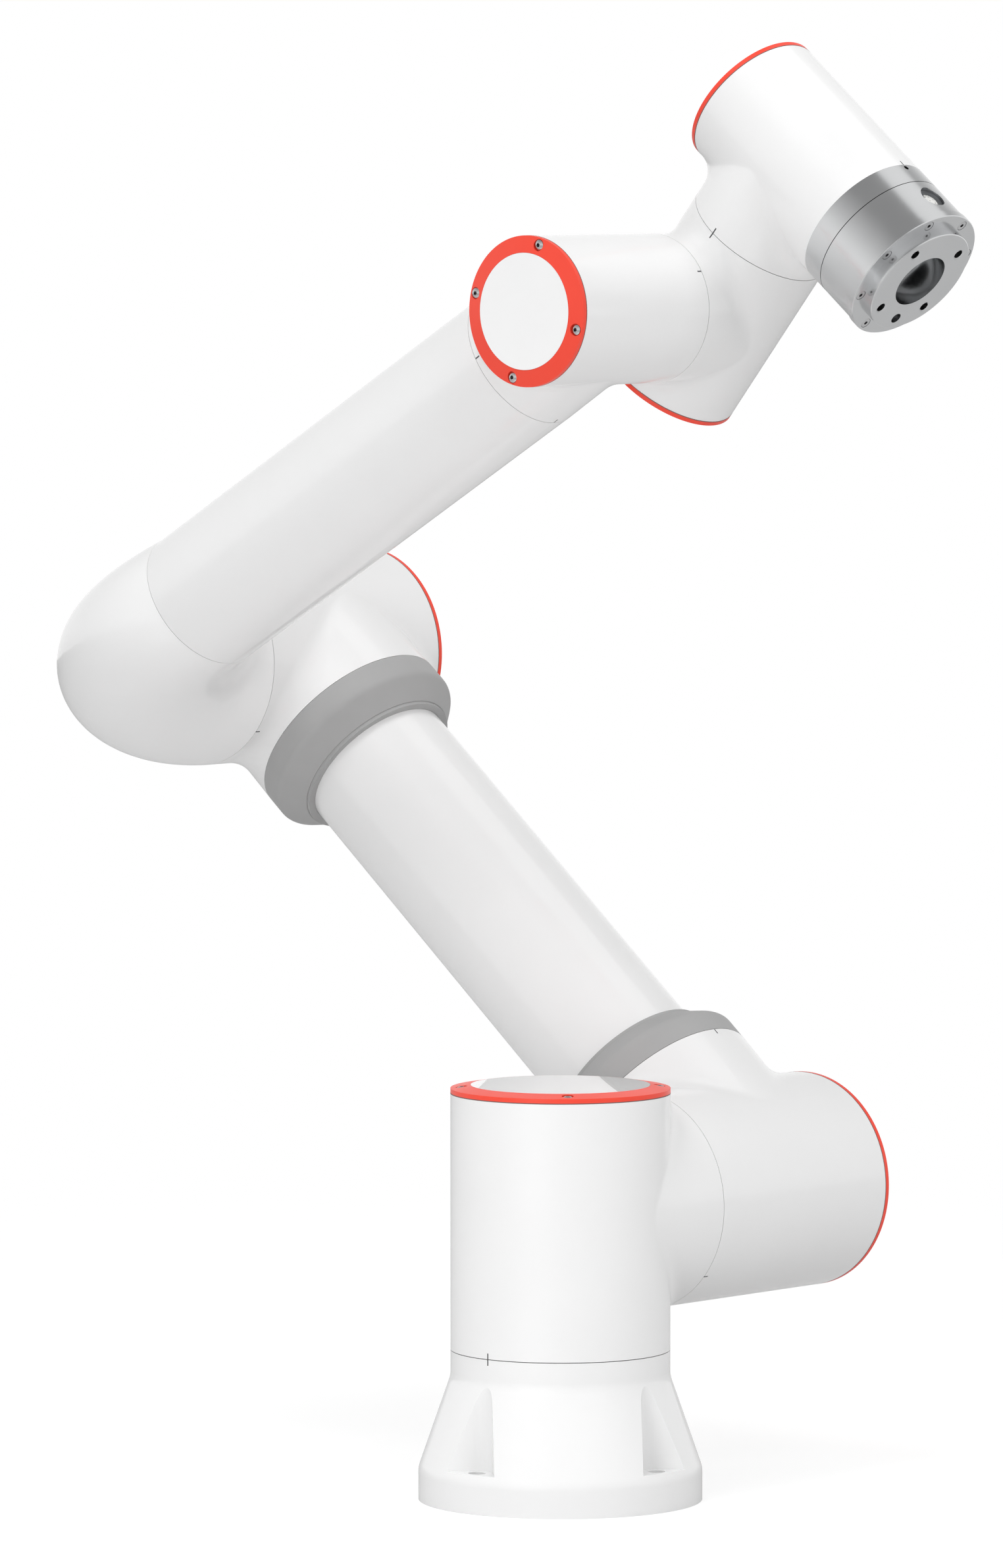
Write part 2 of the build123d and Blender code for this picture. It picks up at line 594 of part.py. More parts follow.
def build():
    """Every sub-part by its name, in place on the arm."""
    neck = LARGE_NECK_LENGTH - SEAM_GAP / 2
    wrist_neck = SMALL_NECK_LENGTH - SEAM_GAP / 2
    parts = {"base_housing": base_housing(), "base_cable_inlet": base_inlet()}
    parts["shoulder_housing"] = PLACE_1 * housing(LARGE, neck, True, 180)
    parts["upper_arm_lower_housing"] = PLACE_2 * housing(LARGE, CUFF_START, False, 180)
    parts["upper_arm_elbow_housing"] = PLACE_3 * housing(LARGE, CUFF_START, False, 0)
    parts["upper_arm_lower_cuff"] = UPPER_LINE * Pos(0, 0, CUFF_START) * cuff()
    parts["upper_arm_upper_cuff"] = UPPER_LINE * Pos(0, 0, UPPER_ARM_LENGTH - CUFF_START) * Rot(180, 0, 0) * cuff()
    parts["upper_arm_tube"] = UPPER_LINE * upper_arm_tube()
    parts["forearm_elbow"] = FORE_LINE * forearm_elbow()
    parts["forearm_tube"] = FORE_LINE * forearm_tube()
    parts["forearm_end_housing"] = PLACE_4 * forearm_end_housing()
    parts["wrist_1_housing"] = PLACE_5 * housing(SMALL, wrist_neck, True, 0)
    parts["wrist_2_housing"] = PLACE_6 * housing(SMALL, wrist_neck, True, 180)
    parts["tool_collar"] = PLACE_6 * tool_collar()
    parts["tool_body"] = PLACE_6 * tool_body()
    parts["tool_socket"] = PLACE_6 * tool_socket()
    parts["tool_flange"] = PLACE_6 * tool_flange()
    parts["tool_flange_screws"] = PLACE_6 * tool_flange_screws()
    for number, drive, place in ((1, LARGE, PLACE_1), (2, LARGE, PLACE_2), (3, LARGE, PLACE_3),
                                 (4, SMALL, PLACE_4), (5, SMALL, PLACE_5)):
        parts.update(drive_parts(f"joint_{number}", drive, place))
    parts.update(drive_parts("joint_6", SMALL, PLACE_6, -COLLAR_LENGTH))
    return parts


def write(parts):
    """Write one STEP file for each sub-part."""
    os.makedirs("parts", exist_ok=True)
    for name, shape in parts.items():
        export_step(shape, f"parts/{name}.step")


write(build())
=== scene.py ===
import json
from math import cos, radians, sin

import bpy
from mathutils import Matrix, Vector


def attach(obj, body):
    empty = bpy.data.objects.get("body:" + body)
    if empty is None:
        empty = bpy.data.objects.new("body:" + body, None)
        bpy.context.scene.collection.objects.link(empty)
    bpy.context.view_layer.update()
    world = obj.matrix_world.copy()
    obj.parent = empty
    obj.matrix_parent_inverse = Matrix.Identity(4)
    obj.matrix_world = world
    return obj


# A six-joint robot arm on its flared foot: white enamelled joint housings and tubes, coral red cap rings,
# grey cuffs on the upper arm and a bright turned tool end. Lengths are in metres, MM turns millimetres.

MM = 0.001

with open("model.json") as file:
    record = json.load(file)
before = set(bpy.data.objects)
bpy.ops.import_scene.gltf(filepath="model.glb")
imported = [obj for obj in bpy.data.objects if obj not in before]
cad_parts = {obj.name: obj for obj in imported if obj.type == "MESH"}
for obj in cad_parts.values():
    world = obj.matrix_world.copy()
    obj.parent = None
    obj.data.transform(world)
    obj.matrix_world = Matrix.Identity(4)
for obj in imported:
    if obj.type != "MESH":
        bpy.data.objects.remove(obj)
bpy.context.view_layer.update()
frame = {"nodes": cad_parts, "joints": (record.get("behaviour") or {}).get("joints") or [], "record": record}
NODES = frame["nodes"]
JOINTS = {joint["name"]: joint for joint in frame["joints"]}

# Camera, as the photograph was taken: it looks 41.3 degrees round from +X and 4.1 degrees down, through a
# long lens. Angles are in radians, the sensor is in millimetres, the photograph is in its own pixels.
IMAGE_HEIGHT = 2383
FOCAL_PIXELS = 14260
SENSOR = 36.0
VIEW_AZIMUTH = 0.7202
VIEW_ELEVATION = 0.0714
VIEW_DISTANCE = 4.886
VIEW_LIMIT = 50
TARGET_ACROSS = -0.0308
TARGET_HEIGHT = 0.3749

# The arm's own sizes, which the small pieces are set by: radii of its housings, and how far its seams, its
# upper arm and its necks lie from the middles of the joints. The base's seam is measured from the floor.
LARGE_RADIUS = 57.5 * MM
SMALL_RADIUS = 39.0 * MM
LARGE_SEAM = 64.5 * MM
SMALL_SEAM = 51.0 * MM
BASE_SEAM = 78.8 * MM
UPPER_PLANE = 137.2 * MM
CUFF_START = 62.7 * MM
FOREARM_NECK = 50.0 * MM

# Caps: their seats from the seam of their joint, their screws' circles as radii, and how far above the seat
# the floors of the screws' sockets lie
LARGE_CAP_SEAT = 134.6 * MM
SMALL_CAP_SEAT = 97.2 * MM
LARGE_SCREW_CIRCLE = 51.8 * MM
SMALL_SCREW_CIRCLE = 35.2 * MM
CAP_SCREWS = 4
CAP_SOCKET_FLOOR = 2.6 * MM

# Tool end: front of its rim and middle of its drum from the middle of the last joint, the circle of the rim's
# screws as a radius, and how deep in the drum the signal socket's insert lies
RIM_FRONT = 92.3 * MM
RIM_SCREW_CIRCLE = 35.3 * MM
RIM_SCREWS = 8
DRUM_MIDDLE = 76.05 * MM
SIGNAL_INSERT_DEPTH = 3.0 * MM

# Alignment marks: each bar of paint starts a little off its seam and lies just under the surface
TICK_WIDTH = 0.8 * MM
TICK_LENGTH = 3.0 * MM
TICK_THICKNESS = 0.4 * MM
TICK_EASE = 0.06 * MM
TICK_OFF_SEAM = 0.2 * MM
TICK_SUNK = 0.02 * MM

# Gaskets, which stand out of the housing by a hair, their dark hairline painted shade of the seam
GASKET_PROUD = 0.03 * MM
GASKET_WIDTH = 0.5 * MM
GASKET_WALL = 0.4 * MM

# Plugs of painted shade on the floors of the screws' hexagon sockets, the rim's measured in from its front
CAP_SOCKET_RADIUS = 1.08 * MM
CAP_SOCKET_FILL = 0.25 * MM
RIM_SOCKET_RADIUS = 1.1 * MM
RIM_SOCKET_FILL = 0.5 * MM
RIM_SOCKET_DEPTH = 0.55 * MM

# Rings of painted shadow in the gaps round the rim screws' heads, their middle measured in from the rim's
# front
SHADOW_RADIUS = 2.88 * MM
SHADOW_WIDTH = 0.5 * MM
SHADOW_WALL = 0.16 * MM
SHADOW_DEPTH = 0.45 * MM

# Ring that stands on the signal socket's insert round its contacts, dark with painted shade of the socket's
# recess;
# its middle measured up from the insert
COLLAR_RADIUS = 6.85 * MM
COLLAR_WIDTH = 1.2 * MM
COLLAR_WALL = 2.2 * MM
COLLAR_RISE = 0.62 * MM

# How small pieces are meshed: sides of a ring, and a plug's straight part and top as shares of the whole
HOOP_SIDES = 160
PLUG_STRAIGHT = 0.7
PLUG_TOP = 0.94
SMOOTH_ANGLE = radians(35)

# Stage levels, where 1 is white
WHITE = (1, 1, 1, 1)
FLOOR_TONE = "#D6D6D6"
FLOOR_SEEN = "#BCBCBC"
FLOOR_LIFT = 0.58
SKY_LOW = 0.58
SKY_HIGH = 0.68
HORIZON_LEVEL = 1.0
CEILING_LEVEL = 0.34

# Stage sizes: the floor's fade runs outwards, the ceiling's from the horizon at 0 to straight up at 1
FLOOR_RADIUS = 8.0
FLOOR_SIDES = 96
FADE_START = 0.4
FADE_END = 1.6
CEILING_START = 0.10
CEILING_END = 0.80

# Soft boxes: metres towards the camera, to the right and up, then the height faced, the width and the watts
LAMPS = (
    ("key_soft_box", (1.2, 1.4, 2.0), TARGET_HEIGHT, 1.6, 20),
    ("overhead_left_box", (0.5, -0.9, 2.6), TARGET_HEIGHT, 1.2, 19),
    ("low_front_box", (0.75, -0.4, 0.15), 0.12, 0.5, 2.0),
)

# Card over the tool end that its turned metal mirrors
CARD_DIRECTION = Vector((0.41, -0.15, 0.90))
CARD_DISTANCE = 1.5
CARD_SIZE = 0.9


# Places and directions

def joint_point(name):
    """A point on a joint's axis."""
    return Vector(JOINTS[name]["pos_m"])


def joint_axis(name):
    """Unit direction of a joint's axis."""
    return Vector(JOINTS[name]["axis"]).normalized()


SHOULDER = joint_point("joint_2_shoulder")
ELBOW = joint_point("joint_3_elbow")
WRIST_1 = joint_point("joint_4_wrist_1")
WRIST_2 = joint_point("joint_5_wrist_2")
WRIST_3 = joint_point("joint_6_wrist_3")
ACROSS = Vector((1, 0, 0))
UP = Vector((0, 0, 1))
UPPER = (ELBOW - SHOULDER).normalized()
FORE = (WRIST_1 - ELBOW).normalized()
WRIST = joint_axis("joint_5_wrist_2")
TOOL = joint_axis("joint_6_wrist_3")

SEAM_1 = UP * BASE_SEAM
SEAM_2 = SHOULDER + ACROSS * LARGE_SEAM
SEAM_3 = ELBOW + ACROSS * LARGE_SEAM
SEAM_4 = WRIST_1 + ACROSS * SMALL_SEAM
SEAM_5 = WRIST_2 + WRIST * SMALL_SEAM
SEAM_6 = WRIST_3 + TOOL * SMALL_SEAM

RIGHT = Vector((sin(VIEW_AZIMUTH), -cos(VIEW_AZIMUTH), 0))
FORWARD = Vector((cos(VIEW_AZIMUTH) * cos(VIEW_ELEVATION), sin(VIEW_AZIMUTH) * cos(VIEW_ELEVATION),
                  -sin(VIEW_ELEVATION)))


# Colour and nodes

def linear(colour):
    """An sRGB hex colour as linear red, green, blue and alpha."""
    channels = []
    for start in (1, 3, 5):
        value = int(colour[start:start + 2], 16) / 255
        channels.append(value / 12.92 if value <= 0.04045 else ((value + 0.055) / 1.055) ** 2.4)
    return (*channels, 1.0)


def add_node(tree, kind, settings=None, links=None):
    """Add a node, set its sockets and properties by name or number, and link its inputs."""
    node = tree.nodes.new(kind)
    for key, value in (settings or {}).items():
        if isinstance(key, int) or key in node.inputs:
            node.inputs[key].default_value = value
        else:
            setattr(node, key, value)
    for key, source in (links or {}).items():
        tree.links.new(source, node.inputs[key])
    return node


def map_range(tree, value, settings):
    """A value carried from one range to another. Both run from 0 to 1 where the settings don't say."""
    return add_node(tree, "ShaderNodeMapRange", settings, {"Value": value}).outputs["Result"]


def mix_shaders(tree, factor, first, second):
    """Two shaders mixed: the first at a factor of 0, the second at 1."""
    return add_node(tree, "ShaderNodeMixShader", None, {0: factor, 1: first, 2: second}).outputs[0]


def finish(name, sockets, tones, cloud, roughness, grain, depth):
    """A material for one finish. Tone and roughness drift between two values over clouds of one size, a bump
    of the given depth runs over finer grains, and the sockets that are named stay constant."""
    material = bpy.data.materials.new(name)
    material.use_nodes = True
    tree = material.node_tree
    shader = tree.nodes["Principled BSDF"]
    for key, value in sockets.items():
        shader.inputs[key].default_value = value
    place = add_node(tree, "ShaderNodeTexCoord").outputs["Object"]
    clouds = add_node(tree, "ShaderNodeTexNoise", {"Scale": 1 / cloud, "Detail": 3.0}, {"Vector": place})
    drift = clouds.outputs["Fac"]
    tone = add_node(tree, "ShaderNodeMix",
                    {"data_type": "RGBA", 6: linear(tones[0]), 7: linear(tones[1])}, {0: drift})
    tree.links.new(tone.outputs[2], shader.inputs["Base Color"])
    rough = map_range(tree, drift, {"To Min": roughness[0], "To Max": roughness[1]})
    tree.links.new(rough, shader.inputs["Roughness"])
    fine = add_node(tree, "ShaderNodeTexNoise", {"Scale": 1 / grain, "Detail": 2.0}, {"Vector": place})
    bump = add_node(tree, "ShaderNodeBump", {"Strength": 1.0, "Distance": depth},
                    {"Height": fine.outputs["Fac"]})
    tree.links.new(bump.outputs["Normal"], shader.inputs["Normal"])
    return material


def turn_about_tool(material):
    """Run the tangent of a material's shader round the tool's axis, as a lathe's tool marks run."""
    tree = material.node_tree
    place = add_node(tree, "ShaderNodeTexCoord").outputs["Object"]
    arm = add_node(tree, "ShaderNodeVectorMath", {"operation": "SUBTRACT", 1: WRIST_3}, {0: place})
    round_axis = add_node(tree, "ShaderNodeVectorMath", {"operation": "CROSS_PRODUCT", 0: TOOL},
                          {1: arm.outputs["Vector"]})
    turned = add_node(tree, "ShaderNodeVectorTransform",
                      {"vector_type": "VECTOR", "convert_from": "OBJECT", "convert_to": "WORLD"},
                      {"Vector": round_axis.outputs["Vector"]})
    tree.links.new(turned.outputs["Vector"], tree.nodes["Principled BSDF"].inputs["Tangent"])


# Finishes

# Two-pack enamel sprayed on cast aluminium: clean white and glossy, with a faint orange peel
WHITE_ENAMEL = finish(
    "white_two_pack_enamel", {"Coat Weight": 0.7, "Coat Roughness": 0.08, "Coat IOR": 1.5},
    tones=("#EDEDED", "#F2F2F2"), cloud=60 * MM, roughness=(0.30, 0.38), grain=1.4 * MM, depth=0.003 * MM)

# Moulded thermoplastic elastomer of the cuffs: matte grey with a fine spark-eroded grain
GREY_ELASTOMER = finish(
    "grey_moulded_elastomer", {"IOR": 1.45},
    tones=("#A6A6A6", "#AEAEAE"), cloud=20 * MM, roughness=(0.55, 0.65), grain=0.35 * MM, depth=0.02 * MM)

# Satin polyurethane on turned aluminium: saturated coral and even
CORAL_RING = finish(
    "coral_satin_polyurethane", {"Coat Weight": 0.2, "Coat Roughness": 0.2, "IOR": 1.45},
    tones=("#F2432F", "#F64A34"), cloud=25 * MM, roughness=(0.38, 0.46), grain=0.5 * MM, depth=0.004 * MM)

# Cast acrylic disc: whiter and glassier than the enamel round it
WHITE_ACRYLIC = finish(
    "white_acrylic_disc", {"Coat Weight": 1.0, "Coat Roughness": 0.02, "IOR": 1.49},
    tones=("#F2F2F2", "#F6F6F6"), cloud=30 * MM, roughness=(0.12, 0.18), grain=2.0 * MM, depth=0.001 * MM)

# Aluminium turned on a lathe about the tool's axis: bright, its highlights drawn out by the tool marks
TURNED_ALUMINIUM = finish(
    "turned_aluminium", {"Metallic": 1.0, "Anisotropic": 0.5},
    tones=("#D0D1D2", "#D8D9DA"), cloud=18 * MM, roughness=(0.17, 0.23), grain=0.25 * MM, depth=0.001 * MM)
turn_about_tool(TURNED_ALUMINIUM)

# Stainless screw steel, cold headed and tumbled: bright, with small clouds of tone
STAINLESS_STEEL = finish(
    "tumbled_stainless_steel", {"Metallic": 1.0},
    tones=("#C4C5C6", "#D2D2D3"), cloud=4 * MM, roughness=(0.18, 0.26), grain=0.4 * MM, depth=0.002 * MM)

# Nitrile lip seals: dark grey and dull
SEAL_RUBBER = finish(
    "nitrile_seal", {"IOR": 1.5},
    tones=("#3A3A3C", "#464648"), cloud=10 * MM, roughness=(0.6, 0.7), grain=0.4 * MM, depth=0.01 * MM)

# Hardened and ground steel of gears and bearing rings: darker than the screws, with a dull satin.
# On the ring in the signal socket its darkness is painted shade of the recess
GROUND_STEEL_AND_RECESS_SHADE = finish(
    "ground_gear_steel_and_recess_shade", {"Metallic": 1.0},
    tones=("#6B6D70", "#7C7E81"), cloud=10 * MM, roughness=(0.32, 0.42), grain=0.3 * MM, depth=0.002 * MM)

# Anodised motor shell: charcoal, satin
MOTOR_SHELL = finish(
    "charcoal_anodised_shell", {"Metallic": 0.6},
    tones=("#3B3D40", "#46484B"), cloud=15 * MM, roughness=(0.4, 0.5), grain=0.4 * MM, depth=0.004 * MM)

# Green solder resist over copper: semi-gloss, not quite even
BOARD_RESIST = finish(
    "green_solder_resist", {"IOR": 1.55, "Coat Weight": 0.3},
    tones=("#0F4A26", "#14562D"), cloud=6 * MM, roughness=(0.3, 0.4), grain=0.5 * MM, depth=0.004 * MM)

# Glass-filled nylon of the cable inlet: black, matte, slightly mottled by the fibres
BLACK_NYLON = finish(
    "black_glass_filled_nylon", {"IOR": 1.53},
    tones=("#1B1B1D", "#252527"), cloud=4 * MM, roughness=(0.5, 0.6), grain=0.3 * MM, depth=0.01 * MM)

# Grey filler paint wiped into the alignment marks
FILLER_PAINT = finish(
    "grey_filler_paint", {"IOR": 1.5},
    tones=("#4A4A4C", "#565658"), cloud=3 * MM, roughness=(0.5, 0.6), grain=0.3 * MM, depth=0.004 * MM)

# Fibre gasket under each cap ring, seen only as a hairline of painted seam shade: warm grey and matte
GASKET_SEAM_SHADE = finish(
    "fibre_gasket_seam_shade", {"IOR": 1.4},
    tones=("#6E5A57", "#7C6764"), cloud=6 * MM, roughness=(0.8, 0.9), grain=0.3 * MM, depth=0.01 * MM)

# Painted shade, near black and dull, in the screws' sockets and round the rim screws' heads
SOCKET_SHADE_PAINT = finish(
    "painted_socket_shade", {"Metallic": 0.5},
    tones=("#1E1E20", "#2A2A2C"), cloud=2 * MM, roughness=(0.5, 0.6), grain=0.2 * MM, depth=0.004 * MM)

# Moulded natural nylon of the signal insert: off white, with a soft sheen
PALE_NYLON = finish(
    "pale_moulded_nylon", {"IOR": 1.53},
    tones=("#E2E2E0", "#EAEAE8"), cloud=4 * MM, roughness=(0.4, 0.5), grain=0.3 * MM, depth=0.004 * MM)

# Finish of each material slot. An output flange shows only its seal's lip in the seam, so it has the seal's
SLOT_FINISHES = {
    "white_paint": WHITE_ENAMEL,
    "grey_cuff": GREY_ELASTOMER,
    "red_ring": CORAL_RING,
    "white_disc": WHITE_ACRYLIC,
    "bright_aluminium": TURNED_ALUMINIUM,
    "cap_screw_steel": STAINLESS_STEEL,
    "flange_steel": SEAL_RUBBER,
    "gear_steel": GROUND_STEEL_AND_RECESS_SHADE,
    "motor_unit": MOTOR_SHELL,
    "circuit_board": BOARD_RESIST,
    "connector_black": BLACK_NYLON,
}


def dress_nodes():
    """Give every CAD node the finish of its material slot, and the signal insert its pale nylon."""
    for part in frame["record"]["subparts"]:
        is_insert = part["node"] == "tool_socket"
        materials = NODES[part["node"]].data.materials
        materials.clear()
        materials.append(PALE_NYLON if is_insert else SLOT_FINISHES[part["material_slot"]])


# Modelling by hand

def place_matrix(origin, axis, side):
    """Place whose Z runs along an axis and whose X points to one side."""
    along = axis.normalized()
    out = (side - along * side.dot(along)).normalized()
    turn = Matrix((out, along.cross(out), along)).transposed()
    return Matrix.Translation(origin) @ turn.to_4x4()


def deselect():
    """Leave nothing selected, so that an operator works on the new piece alone."""
    bpy.ops.object.select_all(action="DESELECT")


def settle(piece, name, material, body, place):
    """Put a piece modelled round the origin in its place, dress it and let it ride on its body."""
    piece.data.transform(place)
    piece.name = name
    piece.data.name = name
    piece.data.materials.clear()
    piece.data.materials.append(material)
    deselect()
    piece.select_set(True)
    bpy.context.view_layer.objects.active = piece
    bpy.ops.object.shade_smooth_by_angle(angle=SMOOTH_ANGLE)
    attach(piece, body)


def hoop(outer, width, wall):
    """Ring about Z, its width centred on height zero: a round band given a wall inwards."""
    deselect()
    bpy.ops.mesh.primitive_cylinder_add(vertices=HOOP_SIDES, radius=outer, depth=width,
                                        end_fill_type="NOTHING")
    piece = bpy.context.object
    solid = piece.modifiers.new("Wall", "SOLIDIFY")
    solid.thickness = wall
    solid.offset = -1
    bpy.ops.object.modifier_apply(modifier=solid.name)
    return piece


def hexagon(radius, height):
    """Low hexagonal plug about Z, standing on height zero, its top edge eased."""
    deselect()
    bpy.ops.mesh.primitive_circle_add(vertices=6, radius=radius, fill_type="NGON")
    piece = bpy.context.object
    bpy.ops.object.mode_set(mode="EDIT")
    bpy.ops.mesh.select_all(action="SELECT")
    for rise in (PLUG_STRAIGHT, 1 - PLUG_STRAIGHT):
        bpy.ops.mesh.extrude_region_move(TRANSFORM_OT_translate={"value": (0, 0, height * rise)})
    bpy.ops.transform.resize(value=(PLUG_TOP, PLUG_TOP, 1))
    bpy.ops.mesh.select_all(action="SELECT")
    bpy.ops.mesh.normals_make_consistent(inside=False)
    bpy.ops.object.mode_set(mode="OBJECT")
    return piece


def copies_round(piece, radius, count):
    """The piece repeated evenly on a circle about Z, the first half a step off X, joined into one mesh."""
    copies = []
    for number in range(count):
        angle = radians(360 / count * (number + 0.5))
        copy = piece.copy()
        copy.data = piece.data.copy()
        bpy.context.scene.collection.objects.link(copy)
        copy.data.transform(Matrix.Rotation(angle, 4, "Z") @ Matrix.Translation((radius, 0, 0)))
        copies.append(copy)
    bpy.data.objects.remove(piece)
    deselect()
    for copy in copies:
        copy.select_set(True)
    bpy.context.view_layer.objects.active = copies[0]
    bpy.ops.object.join()
    return copies[0]


def tick_mark(name, body, seam, axis, outward, radius, side):
    """Filler paint in one alignment mark, on one side of a seam: a low bar with eased edges."""
    deselect()
    bpy.ops.mesh.primitive_cube_add(size=1)
    piece = bpy.context.object
    bpy.ops.object.mode_set(mode="EDIT")
    bpy.ops.mesh.select_all(action="SELECT")
    bpy.ops.transform.resize(value=(TICK_WIDTH, TICK_LENGTH, TICK_THICKNESS))
    bpy.ops.mesh.bevel(offset=TICK_EASE, segments=2)
    bpy.ops.object.mode_set(mode="OBJECT")
    along = axis * side
    height = radius - TICK_THICKNESS / 2 - TICK_SUNK
    middle = seam + outward * height + along * (TICK_OFF_SEAM + TICK_LENGTH / 2)
    settle(piece, name, FILLER_PAINT, body, place_matrix(middle, outward, along.cross(outward)))


def tick_marks():
    """Every alignment mark, on the sides of the seams that carry one."""
    lower_cuff = SHOULDER + ACROSS * UPPER_PLANE + UPPER * CUFF_START
    upper_cuff = ELBOW + ACROSS * UPPER_PLANE - UPPER * CUFF_START
    fore_neck = WRIST_1 - FORE * FOREARM_NECK
    behind = ACROSS.cross(UPPER)
    # Name, body, middle and axis of the seam, way out to the mark, radius there, and side of the seam
    marks = (
        ("base", "base", SEAM_1, UP, -ACROSS, LARGE_RADIUS, -1),
        ("shoulder_foot", "shoulder", SEAM_1, UP, -ACROSS, LARGE_RADIUS, 1),
        ("shoulder_neck", "shoulder", SEAM_2, ACROSS, UP.cross(ACROSS), LARGE_RADIUS, -1),
        ("upper_arm_root", "upper_arm", SEAM_2, ACROSS, -UPPER, LARGE_RADIUS, 1),
        ("upper_arm_lower_neck", "upper_arm", lower_cuff, UPPER, behind, LARGE_RADIUS, -1),
        ("upper_arm_end", "upper_arm", SEAM_3, ACROSS, -UPPER, LARGE_RADIUS, 1),
        ("upper_arm_elbow_neck", "upper_arm", upper_cuff, UPPER, -behind, LARGE_RADIUS, 1),
        ("forearm_neck_side", "forearm", fore_neck, FORE, ACROSS.cross(FORE), SMALL_RADIUS, 1),
        ("forearm_neck_front", "forearm", fore_neck, FORE, -ACROSS, SMALL_RADIUS, 1),
        ("forearm_end", "forearm", SEAM_4, ACROSS, FORE, SMALL_RADIUS, -1),
        ("wrist_1_neck", "wrist_1", SEAM_4, ACROSS, -TOOL, SMALL_RADIUS, 1),
        ("wrist_1_end", "wrist_1", SEAM_5, WRIST, -ACROSS, SMALL_RADIUS, -1),
        ("wrist_2_neck", "wrist_2", SEAM_5, WRIST, -ACROSS, SMALL_RADIUS, 1),
        ("wrist_2_end", "wrist_2", SEAM_6, TOOL, WRIST, SMALL_RADIUS, -1),
    )
    for name, *mark in marks:
        tick_mark(name + "_tick", *mark)


def cap_details():
    """Under each cap ring its gasket, a hairline of painted seam shade, and in its four screws painted shade
    on the floors of their sockets.
    """
    large = (LARGE_RADIUS, LARGE_CAP_SEAT, LARGE_SCREW_CIRCLE)
    small = (SMALL_RADIUS, SMALL_CAP_SEAT, SMALL_SCREW_CIRCLE)
    # Joint, body, middle of its seam, way out of the cap, way of its neck, and sizes
    caps = (
        ("joint_1", "shoulder", SEAM_1, UP, ACROSS, large),
        ("joint_2", "upper_arm", SEAM_2, ACROSS, UPPER, large),
        ("joint_3", "upper_arm", SEAM_3, ACROSS, -UPPER, large),
        ("joint_4", "forearm", SEAM_4, -ACROSS, -FORE, small),
        ("joint_5", "wrist_1", SEAM_5, -WRIST, -ACROSS, small),
        ("joint_6", "wrist_2", SEAM_6, -TOOL, -WRIST, small),
    )
    for name, body, seam, out, side, (radius, seat, circle) in caps:
        # The gasket's warm grey hairline is painted shade in the seam under the cap ring
        settle(hoop(radius + GASKET_PROUD, GASKET_WIDTH, GASKET_WALL),
               name + "_cap_gasket_seam_shade", GASKET_SEAM_SHADE, body, place_matrix(seam + out * seat, out, side))
        # Dark plugs of painted shade on the floors of the sockets
        settle(copies_round(hexagon(CAP_SOCKET_RADIUS, CAP_SOCKET_FILL), circle, CAP_SCREWS),
               name + "_screw_socket_painted_shade", SOCKET_SHADE_PAINT, body,
               place_matrix(seam + out * (seat + CAP_SOCKET_FLOOR), out, side))


def tool_details():
    """Painted shadow round the rim screws' heads, painted shade in their sockets, and a ring of painted shade
    in the signal socket.
    """
    rim = place_matrix(WRIST_3 + TOOL * RIM_FRONT, -TOOL, -WRIST)
    # Painted shadow in the gaps round the heads and painted shade in the sockets
    settle(copies_round(hoop(SHADOW_RADIUS, SHADOW_WIDTH, SHADOW_WALL), RIM_SCREW_CIRCLE, RIM_SCREWS),
           "rim_screw_shadow_rings", SOCKET_SHADE_PAINT, "tool_end",
           rim @ Matrix.Translation((0, 0, SHADOW_DEPTH)))
    settle(copies_round(hexagon(RIM_SOCKET_RADIUS, RIM_SOCKET_FILL), RIM_SCREW_CIRCLE, RIM_SCREWS),
           "rim_screw_socket_painted_shade", SOCKET_SHADE_PAINT, "tool_end",
           rim @ Matrix.Translation((0, 0, RIM_SOCKET_DEPTH)))
    insert = WRIST_3 + TOOL * DRUM_MIDDLE + WRIST * (SMALL_RADIUS - SIGNAL_INSERT_DEPTH)
    # Dark ground steel on this ring paints the shade of the signal socket's recess
    settle(hoop(COLLAR_RADIUS, COLLAR_WIDTH, COLLAR_WALL),
           "signal_socket_shade_collar", GROUND_STEEL_AND_RECESS_SHADE, "tool_end",
           place_matrix(insert + WRIST * COLLAR_RISE, WRIST, TOOL))


# Stage

def stage_material(name):
    """A material for the stage, and its node tree with nothing in it."""
    material = bpy.data.materials.new(name)
    material.use_nodes = True
    material.node_tree.nodes.clear()
    return material, material.node_tree


